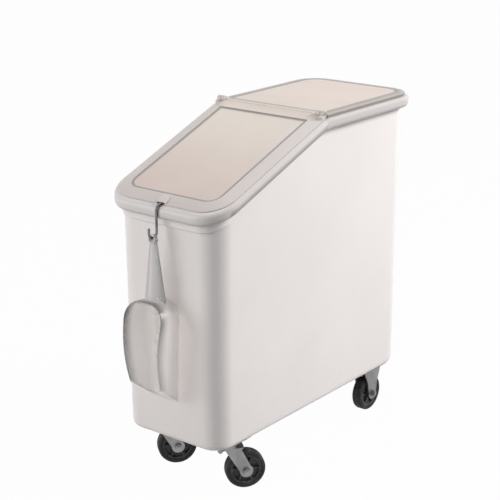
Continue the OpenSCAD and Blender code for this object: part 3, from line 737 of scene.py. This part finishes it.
def front_lid():
    """Front lid: a border that falls gently outward round a flat panel set a little below it, with a rib
    below. Its seam edge steps back round the rear lid's ears and doesn't fall, and the border over the hook
    stays up to leave a notch for the wire."""
    section = front_section()
    stops = [inner_ear - EAR_GAP, inner_ear + EAR_W + EAR_GAP]
    notch = RELIEF_MARKS * RELIEF_W / (lid_hw - lid_r) / 2 + 0.5
    front_edge = np.sort(np.concatenate([ENDS, notch]))
    shape = outline(lid_hw, -front_len, -SEAM, lid_r, SEAM_R,
                    (STRAIGHT, seam_shares(stops), STRAIGHT, front_edge))
    notch_half = RELIEF_W * RELIEF_HALF
    near_hook = (np.abs(shape.core[:, 0]) < notch_half) & (shape.normal[:, 1] < -FACING)
    fall = 1 - np.maximum(shape.normal[:, 1], 0)
    rows = lid_rows(shape, section, front_base, FRONT_SAG, FRAME_W, np.where(near_hook, 0, fall))
    across, along, above = np.moveaxis(rows, -1, 0)
    beside_ear = (np.abs(across) > stops[0]) & (np.abs(across) < stops[1])
    along = np.where(beside_ear, np.minimum(along, -EAR_R - EAR_GAP), along)
    over_hook = (np.abs(across) < notch_half) & (along < -front_len + FRAME_W)
    above = np.where(over_hook, np.maximum(above, LID_TOP - RELIEF_SKIN), above)
    marks = step_marks(section, FRAME_W, FRONT_STEP_PAST, FRONT_BORDER_TONE, FRONT_EDGE_TONE, fall)
    return *skin(laid(np.stack([across, along, above], -1), SLOPE)), marks


def rear_lid():
    """Rear lid: a flat panel a little below a border that falls outward, and a rib below; its seam edge
    doesn't fall, and its seam corners step back round the front lid's ears."""
    section = rear_section()
    stops = [outer_ear - EAR_GAP]
    shape = outline(lid_hw, SEAM, rear_len, SEAM_R, lid_r,
                    (STRAIGHT, STRAIGHT, STRAIGHT, seam_shares(stops)))
    fall = 1 - np.maximum(-shape.normal[:, 1], 0)
    rows = lid_rows(shape, section, rear_base, REAR_SAG, PLATEAU_IN, fall)
    across, along, above = np.moveaxis(rows, -1, 0)
    along = np.where(np.abs(across) > stops[0], np.maximum(along, EAR_R + EAR_GAP), along)
    marks = step_marks(section, PLATEAU_IN, REAR_STEP_PAST, REAR_BORDER_TONE, REAR_EDGE_TONE, fall)
    return *skin(laid(np.stack([across, along, above], -1), 0)), marks


def put_lid(name, lid, ear):
    """One lid with an ear at each end of its seam."""
    *sheet, marks = lid
    put(name + "_moulding", [sheet, ear, mirrored(ear)], name,
        edge=np.concatenate([marks, np.full(2 * len(ear[0]), EAR_TONE)]))


put_lid("front_lid", front_lid(), hinge_ear(outer_ear, front_base, -1, SLOPE))
put_lid("rear_lid", rear_lid(), hinge_ear(inner_ear, rear_base, 1, 0))

# Hook

WIRE_R = 2.5
BEND_R = 5.0
CURL_R = 11.0
TIP_L = 8.0
INNER_LEG = 12.0
# Height above the curl's centre where the stem's straight part ends
STEM_END = 4.0
# Rings that close an end of the wire, and the angle of the last one
END_RINGS = 5
END_ANGLE = 0.15
curl = pivot("scoop_swing")


def hook_path():
    """The wire's middle line, in (y, z): a short leg inside the tub, a bend over the rim, the stem down the
    skirt, a half turn and a tip."""
    stem_y, tip_y = curl[1] + CURL_R, curl[1] - CURL_R
    leg_y = mid_y - wall_hd + WALL_T + WIRE_R + REST
    lift = (WIRE_R + REST) / math.cos(SLOPE)

    def over_rim(y):
        return rim_z - (hinge[1] - y) * math.tan(SLOPE) + lift

    leg_end = over_rim(leg_y) - BEND_R * math.tan((math.pi / 2 + SLOPE) / 2) - INNER_LEG
    bent = softened([(leg_y, leg_end, 0), (leg_y, over_rim(leg_y), BEND_R),
                     (stem_y, over_rim(stem_y), BEND_R), (stem_y, curl[2] + STEM_END, 0)], 14)
    turn = np.linspace(0, -np.pi, 33)
    half = np.stack([curl[1] + CURL_R * np.cos(turn), curl[2] + CURL_R * np.sin(turn)], 1)
    return np.concatenate([bent, half, [[tip_y, curl[2] + TIP_L / 2], [tip_y, curl[2] + TIP_L]]])


def hook_wire():
    """Round wire along its path. A ring of the wire is its centre plus the radius times the direction
    across the path; at both ends the radius closes like a ball, as the sine of an angle whose cosine moves
    the ring on."""
    path = hook_path()
    way = np.gradient(path, axis=0)
    way /= np.linalg.norm(way, axis=1, keepdims=True)
    ball = np.linspace(np.pi / 2, END_ANGLE, END_RINGS + 1)[:0:-1, None]
    past = np.sin(np.pi / 2 - ball)
    spot = np.concatenate([path[0] - way[0] * past * WIRE_R, path, path[-1] + way[-1] * past[::-1] * WIRE_R])
    thick = np.concatenate([np.sin(ball), np.ones((len(path), 1)), np.sin(ball[::-1])])
    way = np.concatenate([way[:1].repeat(END_RINGS, 0), way, way[-1:].repeat(END_RINGS, 0)])
    angle = np.linspace(0, 2 * np.pi, 24, endpoint=False)
    out = WIRE_R * thick * np.sin(angle)
    side = WIRE_R * thick * np.cos(angle)
    return skin(np.stack([side, spot[:, :1] + out * way[:, 1:], spot[:, 1:] - out * way[:, :1]], -1))


put("hook_bent_wire", [hook_wire()], "s_hook", crease=60)

# Scoop

scoop_high = node_box("scoop")[1]
SCOOP_T = 3.0
# Bowl: deepest at the belly, BELLY below its top; MOUTH_SHARE of the depth is left at the top, LIP_SHARE of
# the width at the lip
BOWL_HW = 52.0
BOWL_DEPTH = 77.0
BOWL_L = 223.0
BOWL_R = 26.0
BOWL_CORNER = 40.0
FLARE = 1.0
BELLY = 98.0
MOUTH_SHARE = 0.76
LIP_SHARE = 0.73
LIP_ANGLE = math.radians(37)
# Rows of the bowl: from its middle line, inward of its arc and forward of that, and the flare left there
BACK_IN = 8.0
ARC_PAST = 6.0
WALL_PAST = 3.0
FLARE_LEFT = 0.9
# Rounds in which the lip's height and the depth are settled
ROUNDS = 12
# Handle: its length, its root's place in from the back and below the bowl's top, its width and thickness at
# root and lug, its side edges and the roundings of its section
HANDLE_L = 122.0
ROOT_IN = 28.0
ROOT = 2.0
ROOT_W = 54.0
ROOT_T = 17.0
NECK_W = 16.0
NECK_T = 5.5
SIDE_T = 2.5
BACK_R = 0.8
SIDE_R = 1.0
RIDGE_R = 3.0
# Lug with the eye
LUG_R = 10.0
LUG_T = 8.0
LUG_SOFT = 1.2
EYE_R = 6.0
# Edge values of painted shade on the mouth's sides, the lip, the handle's side edges and face, and the lug
SIDE_EDGE = 0.65
LIP_EDGE = 0.3
HANDLE_EDGE = 0.7
HANDLE_FACE = 0.12
LUG_EDGE = 0.35
# Share of the handle's half width past which its side edge starts
HANDLE_SIDE = 0.85
back_y = scoop_high[1]
eye_z = scoop_high[2] - LUG_R
bowl_top = eye_z - HANDLE_L
lip_z = bowl_top - BOWL_L


def bowl_half(corner_r):
    """Half of the bowl's section, up to its wall: a quarter arc from the flat back forward."""
    turn = np.linspace(0, np.pi / 2, 10)
    return np.stack([-FLARE - corner_r * (1 - np.sin(turn)), corner_r * (1 - np.cos(turn)), 0 * turn], 1)


def bowl_rows():
    """Rows of (outward, depth, base): from the middle of the back, out and forward to the mouth's rounded
    edge, and back inside, where the base is the wall's thickness. The first row faces the last across the
    wall, and so on."""
    half_t = SCOOP_T / 2
    inside = bowl_half(BOWL_R - SCOOP_T) + [-SCOOP_T, SCOOP_T, SCOOP_T]
    turn = np.linspace(0, np.pi, 9)
    edge = np.stack([-half_t + half_t * np.cos(turn), BOWL_DEPTH - half_t + half_t * np.sin(turn),
                     half_t - half_t * np.cos(turn)], 1)
    wall = np.array([[-FLARE * FLARE_LEFT, BOWL_R + WALL_PAST, 0],
                     [-FLARE / 2, (BOWL_R + BOWL_DEPTH) / 2, 0]])
    middle = np.array([[-BOWL_HW + LEAST_R, 0, 0], [-BOWL_HW + BACK_IN, 0, 0], [-BOWL_R - ARC_PAST, 0, 0]])
    return np.concatenate([middle, bowl_half(BOWL_R), wall, edge, (wall + [-SCOOP_T, 0, SCOOP_T])[::-1],
                           inside[::-1], (middle + [0, SCOOP_T, SCOOP_T])[::-1]])


def strip(line):
    """Faces across a line with an odd number of points: quads between facing points, a triangle at its
    middle."""
    middle = len(line) // 2
    k = np.arange(middle - 1)
    quads = np.stack([line[k], line[k + 1], line[-2 - k], line[-1 - k]], 1)
    return [quads, line[None, middle - 1:middle + 2]]


def scoop_bowl():
    """Bowl: each row is carried along a path that climbs the left side from the lip, rounds the top and
    comes down the right side. Width tapers evenly to the lip; depth swells as one less a square of the
    height from the belly; the lip's height grows with the depth, so the two are settled together in a few
    rounds. The lip and both middle lines are closed by strips between facing points."""
    rows = bowl_rows()
    out, depth, base = rows[:, :1], rows[:, 1:2], rows[:, 2:]
    climb = np.linspace(0, 1, 25, endpoint=False)
    half_turn = ARC * np.pi / 2
    top = np.linspace(-1, 1, 7)[1:-1]
    side = np.ones(len(climb))
    corner = np.ones(len(ARC))
    sign_x = np.concatenate([-side, -corner, top, corner, side])
    normal_x = np.concatenate([-side, -np.cos(half_turn), 0 * top, np.sin(half_turn), side])
    normal_z = np.concatenate([0 * side, np.sin(half_turn), 0 * top + 1, np.cos(half_turn), 0 * side])
    share = np.concatenate([climb, corner, 0 * top + 1, corner, climb[::-1]])
    grown = BOWL_CORNER + out
    radius = np.maximum(grown, LEAST_R)
    slip = grown - radius
    deep = depth + 0 * share
    for _ in range(ROUNDS):
        lip = lip_z + deep * math.tan(LIP_ANGLE)
        z = lip + share * (bowl_top - BOWL_CORNER + slip - lip) + radius * normal_z
        swell = 1 - (1 - MOUTH_SHARE) * ((bowl_top - BELLY - z) / BELLY) ** 2
        deep = base + (depth - base) * swell
    taper = 1 - (1 - LIP_SHARE) * (bowl_top - z) / BOWL_L
    x = ((BOWL_HW - BOWL_CORNER + slip) * sign_x + radius * normal_x) * taper
    grid = np.stack([x, back_y - deep, z], -1)
    index = np.arange(x.size).reshape(x.shape)
    quads = np.stack([index[:-1, :-1], index[1:, :-1], index[1:, 1:], index[:-1, 1:]], -1).reshape(-1, 4)
    outward = strip(index[0]) + strip(index[:, -1])
    inward = [faces[:, ::-1] for faces in strip(index[-1]) + strip(index[:, 0])]
    bridge = np.array([[index[0, 0], index[0, -1], index[-1, -1], index[-1, 0]]])
    return grid.reshape(-1, 3), [quads, *outward, *inward, bridge], bowl_edge_shade(rows, share)


def bowl_edge_shade(rows, share):
    """Painted shade at each point of the bowl, for the dark line on the mouth's edge: on its rounded rows 1
    round the top, less down the sides with the fourth power of the share climbed, little on the lip's end
    columns, and 0 on the walls."""
    mark = np.zeros((len(rows), len(share)))
    mark[rows[:, 1] > BOWL_DEPTH - SCOOP_T] = SIDE_EDGE + (1 - SIDE_EDGE) * share ** 4
    mark[:, [0, -1]] = LIP_EDGE
    return mark.ravel()


def handle_section(width, thick, back):
    """Handle section: flat behind, with a rounded ridge in front that falls to thin side edges."""
    half, side = width / 2, back - SIDE_T
    return softened([(-half, back, BACK_R), (-half, side, SIDE_R), (0, back - thick, RIDGE_R),
                     (half, side, SIDE_R), (half, back, BACK_R)])


def scoop_handle():
    """Handle: straight lines from the section on the bowl to the section on the lug; at the bowl it sinks
    with the rounded top, whose drop is the corner's radius less the height of its arc. Its side edges get
    strong painted shade, and its face a little."""
    s = np.linspace(0, 1, 25)[:, None, None]
    root = handle_section(ROOT_W, ROOT_T, back_y - ROOT_IN)
    neck = handle_section(NECK_W, NECK_T, curl[1] + NECK_T / 2)
    section = (1 - s) * root + s * neck
    across = np.abs(section[..., 0])
    past = np.maximum(across - BOWL_HW + BOWL_CORNER, 0)
    drop = BOWL_CORNER - np.sqrt(BOWL_CORNER ** 2 - past ** 2)
    z = bowl_top - ROOT + HANDLE_L * s[..., 0] - drop * (1 - s[..., 0])
    side = across / np.max(across, 1, keepdims=True) > HANDLE_SIDE
    tone = np.where(side, HANDLE_EDGE, HANDLE_FACE).ravel()
    return *skin(np.concatenate([section, z[..., None]], -1)), tone


lug_loop = softened([(-LUG_T / 2, EYE_R, LUG_SOFT), (-LUG_T / 2, LUG_R, LUG_SOFT),
                     (LUG_T / 2, LUG_R, LUG_SOFT), (LUG_T / 2, EYE_R, LUG_SOFT)])
lug = lathe([0, curl[1], eye_z], [0, -1, 0], lug_loop, 64)
# The scoop's painted dark edge lines go in as the edge attribute
*bowl, mouth_shade = scoop_bowl()
*grip, grip_shade = scoop_handle()
put("scoop_moulding", [bowl, grip, lug], "scoop",
    edge=np.concatenate([mouth_shade, grip_shade, np.full(len(lug[0]), LUG_EDGE)]))

# Wheels

# Tyre: half its width, the moulded ring on its side wall, and its tread grooves
TREAD_HALF = 12.0
TYRE_R = pivot("rear_left_wheel_spin")[2]
SHOULDER_R = 5.0
SEAT_R = 0.4
RING_UP = 3.0
RING_HALF = 0.5
GROOVE_AT = 4.2
GROOVE_HALF = 0.4
GROOVE_D = 0.9
# Core: the rim under the tyre, the web and the boss, with the roundings of their edges
CORE_R = TYRE_R - 10.0
CORE_RIM = CORE_R - 4.0
CORE_HALF = 11.0
CORE_SEAT_R = 0.3
CORE_EDGE_R = 0.8
WEB_HALF = 3.5
WEB_R = 1.5
HUB_R = 12.0
HUB_HALF = 14.5
HUB_EDGE_R = 1.2
BORE_R = 6.05
BORE_EDGE_R = 0.6
# Spokes: how far they run into the boss and the rim, and their section
SPOKES = 6
SPOKE_HALF = 9.0
SPOKE_T = 5.0
SPOKE_R = 1.5
SPOKE_IN = 3.0
SPOKE_OUT = 2.0


def both_sides(left):
    """Corners of (along the axis, radius, rounding) on a wheel's left side, and their mirror image after
    them."""
    return left + [(-along, radius, soft) for along, radius, soft in left[::-1]]


def tyre_loop():
    """Tyre section: rounded shoulders, two fine tread grooves and a moulded ring on each side wall."""
    ring = CORE_R + RING_UP
    return softened(both_sides([
        (-TREAD_HALF, CORE_R, SEAT_R), (-TREAD_HALF, ring - RING_HALF, 0), (-TREAD_HALF + RING_HALF, ring, 0),
        (-TREAD_HALF, ring + RING_HALF, 0), (-TREAD_HALF, TYRE_R, SHOULDER_R),
        (-GROOVE_AT - GROOVE_HALF, TYRE_R, 0), (-GROOVE_AT, TYRE_R - GROOVE_D, 0),
        (-GROOVE_AT + GROOVE_HALF, TYRE_R, 0)]), 8)


def core_loop():
    """Hub section: a rim under the tyre, a thin web and a long boss round the bore, all with eased
    edges."""
    return softened(both_sides([
        (-HUB_HALF, BORE_R, BORE_EDGE_R), (-HUB_HALF, HUB_R, HUB_EDGE_R), (-WEB_HALF, HUB_R, WEB_R),
        (-WEB_HALF, CORE_RIM, WEB_R), (-CORE_HALF, CORE_RIM, CORE_EDGE_R),
        (-CORE_HALF, CORE_R, CORE_SEAT_R)]), 4)


def spokes(centre, axis):
    """Ribs between the boss and the rim: a rounded bar section across the web, carried outward."""
    axis = np.asarray(axis, float) / np.linalg.norm(axis)
    half_t = SPOKE_T / 2
    section = softened([(-SPOKE_HALF, -half_t, SPOKE_R), (SPOKE_HALF, -half_t, SPOKE_R),
                        (SPOKE_HALF, half_t, SPOKE_R), (-SPOKE_HALF, half_t, SPOKE_R)], 4)
    reach = np.array([HUB_R - SPOKE_IN, HUB_R, CORE_RIM, CORE_RIM + SPOKE_OUT])[:, None, None]
    side = np.cross(axis, [0, 0, 1])
    made = []
    for turn in np.radians(360 / SPOKES * np.arange(SPOKES)):
        out = math.cos(turn) * side + math.sin(turn) * np.cross(axis, side)
        across = np.cross(axis, out)
        grid = centre + reach * out + section[:, :1] * axis + section[:, 1:] * across
        made.append(skin(grid[::-1]))
    return made


for wheel in ("front_left", "front_right", "rear_left", "rear_right"):
    spin = wheel + "_wheel_spin"
    centre, axis = pivot(spin), joint[spin]["axis"]
    put(wheel + "_tyre_moulding", [lathe(centre, axis, tyre_loop())], wheel + "_tyre", crease=30)
    put(wheel + "_core_moulding", [lathe(centre, axis, core_loop())] + spokes(centre, axis), wheel + "_core")

# Studio, in metres

# The room's even light, and the floor's size, paint and how much of it is plain white where it is seen
ROOM_LIGHT = 0.3
FLOOR_HALF = 40.0
FLOOR_PAINT = (0.35, 0.35, 0.35, 1)
FLOOR_WHITE = 0.98
# The camera stands where the photograph was taken from, and looks at a point near the bin's middle
BEARING = math.radians(37.72)
RISE = math.radians(18.63)
DISTANCE = 2.9418
LOOK_AT = Vector((0, 0.0295, 0.374))
LENS = 98.03
SHIFT_X = -0.0379
SHIFT_Y = 0.0512
FARTHEST = 200
scene = bpy.context.scene
scene.view_settings.view_transform = "Standard"


def where_seen(tree, carried, seen):
    """One value for rays from the camera, off gloss and through clear plastic, another for rays that carry
    light."""
    path = tree.nodes.new("ShaderNodeLightPath")
    total = path.outputs["Is Camera Ray"]
    for ray in ("Is Glossy Ray", "Is Transmission Ray"):
        more = tree.nodes.new("ShaderNodeMath")
        more.operation = "MAXIMUM"
        tree.links.new(total, more.inputs[0])
        tree.links.new(path.outputs[ray], more.inputs[1])
        total = more.outputs[0]
    level = tree.nodes.new("ShaderNodeMapRange")
    level.inputs["To Min"].default_value = carried
    level.inputs["To Max"].default_value = seen
    tree.links.new(total, level.inputs["Value"])
    return level.outputs["Result"]


def white_room():
    """World: white where it is seen, and a softer even light on the object."""
    world = bpy.data.worlds.new("white_room")
    scene.world = world
    world.use_nodes = True
    tree = world.node_tree
    background = tree.nodes["Background"]
    background.inputs["Color"].default_value = (1, 1, 1, 1)
    tree.links.new(where_seen(tree, ROOM_LIGHT, 1.0), background.inputs["Strength"])


def pale_floor():
    """Wide level floor: white where it is seen, but with a share of real diffuse paint that takes the
    shadow."""
    corners = np.array([(-1, -1, 0), (1, -1, 0), (1, 1, 0), (-1, 1, 0)]) * FLOOR_HALF
    mesh = bpy.data.meshes.new("studio_floor")
    mesh.from_pydata(corners.tolist(), [], [(0, 1, 2, 3)])
    paint = bpy.data.materials.new("floor_paint")
    paint.use_nodes = True
    tree = paint.node_tree
    tree.nodes.remove(tree.nodes["Principled BSDF"])
    diffuse = tree.nodes.new("ShaderNodeBsdfDiffuse")
    diffuse.inputs["Color"].default_value = FLOOR_PAINT
    glow = tree.nodes.new("ShaderNodeEmission")
    glow.inputs["Strength"].default_value = 1.0
    mix = tree.nodes.new("ShaderNodeMixShader")
    tree.links.new(where_seen(tree, 0.0, FLOOR_WHITE), mix.inputs["Fac"])
    tree.links.new(diffuse.outputs["BSDF"], mix.inputs[1])
    tree.links.new(glow.outputs["Emission"], mix.inputs[2])
    tree.links.new(mix.outputs["Shader"], tree.nodes["Material Output"].inputs["Surface"])
    mesh.materials.append(paint)
    floor = bpy.data.objects.new("studio_floor", mesh)
    scene.collection.objects.link(floor)


def soft_lamp(name, place, aim, size, power, glare=True):
    """Square soft box at a place, turned to its aim. Without glare it doesn't mirror in gloss."""
    lamp = bpy.data.lights.new(name, "AREA")
    lamp.size = size
    lamp.energy = power
    held = bpy.data.objects.new(name, lamp)
    held.location = place
    held.rotation_euler = (Vector(aim) - Vector(place)).to_track_quat("-Z", "Y").to_euler()
    held.visible_glossy = glare
    scene.collection.objects.link(held)


def photograph_camera():
    """Camera at its distance from the point it looks at, along its bearing and rise."""
    camera = bpy.data.objects.new("camera", bpy.data.cameras.new("camera"))
    scene.collection.objects.link(camera)
    scene.camera = camera
    level = math.cos(RISE)
    away = Vector((math.sin(BEARING) * level, -math.cos(BEARING) * level, math.sin(RISE)))
    camera.location = LOOK_AT + away * DISTANCE
    camera.rotation_euler = (-away).to_track_quat("-Z", "Y").to_euler()
    camera.data.lens = LENS
    camera.data.shift_x = SHIFT_X
    camera.data.shift_y = SHIFT_Y
    camera.data.clip_end = FARTHEST


white_room()
pale_floor()
soft_lamp("right_soft_box", place=(2.6, 2.0, 2.55), aim=(0, 0.1, 0.4), size=1.4, power=150, glare=False)
soft_lamp("left_front_soft_box", place=(-1.8, -2.88, 1.5), aim=(0, -0.2, 0.4), size=2.4, power=74)
soft_lamp("top_soft_box", place=(-0.5, 0.5, 3.2), aim=(0, 0, 0.6), size=2.2, power=12)
photograph_camera()
